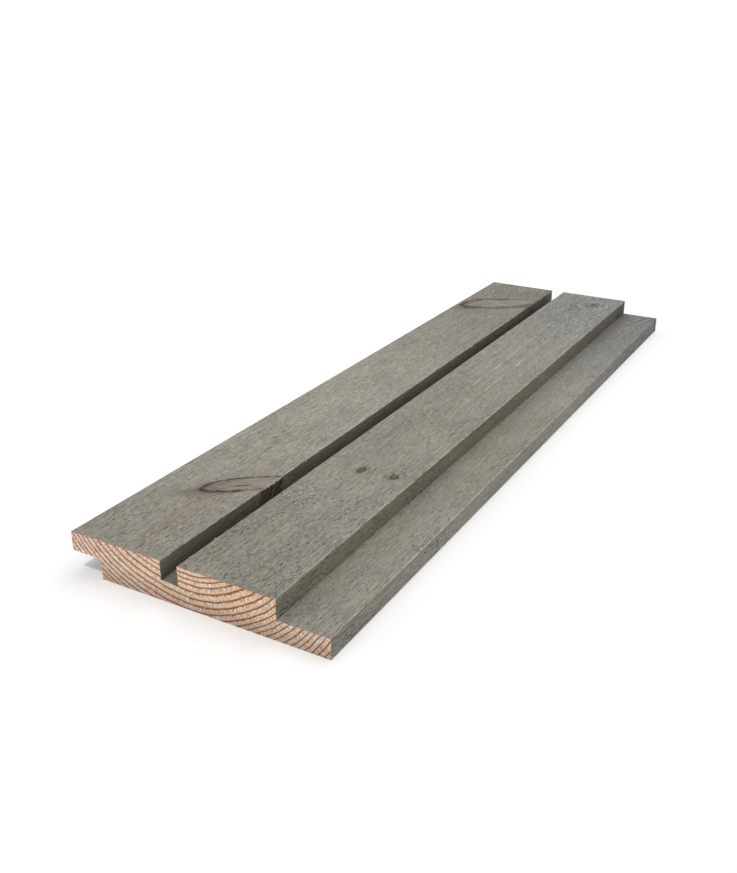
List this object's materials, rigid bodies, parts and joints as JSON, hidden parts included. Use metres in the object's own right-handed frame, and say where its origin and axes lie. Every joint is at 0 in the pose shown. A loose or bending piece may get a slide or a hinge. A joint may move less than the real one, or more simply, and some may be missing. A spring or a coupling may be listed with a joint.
{
  "type": "shiplap cladding board",
  "caption": "Planed softwood wall board with a grey stain, a lapping lip on one edge, a tongue on the other and a square shadow groove along its face.",
  "frame": {"origin": "middle of the back, the flat face that lies against the battens, taken over the whole width and length", "axes": "+X across the board from the lip to the tongue, +Y along the board and its grain, +Z out of the back towards the face"},
  "size_m": [0.19, 0.67, 0.028],
  "materials": {
    "grey_stained_softwood": "fine-sawn softwood with a thin matt grey stain on the face, back and edges, and bare sawn ends"
  },
  "bodies": {
    "root": {"shiplap_board": "grey_stained_softwood"}
  },
  "joints": []
}
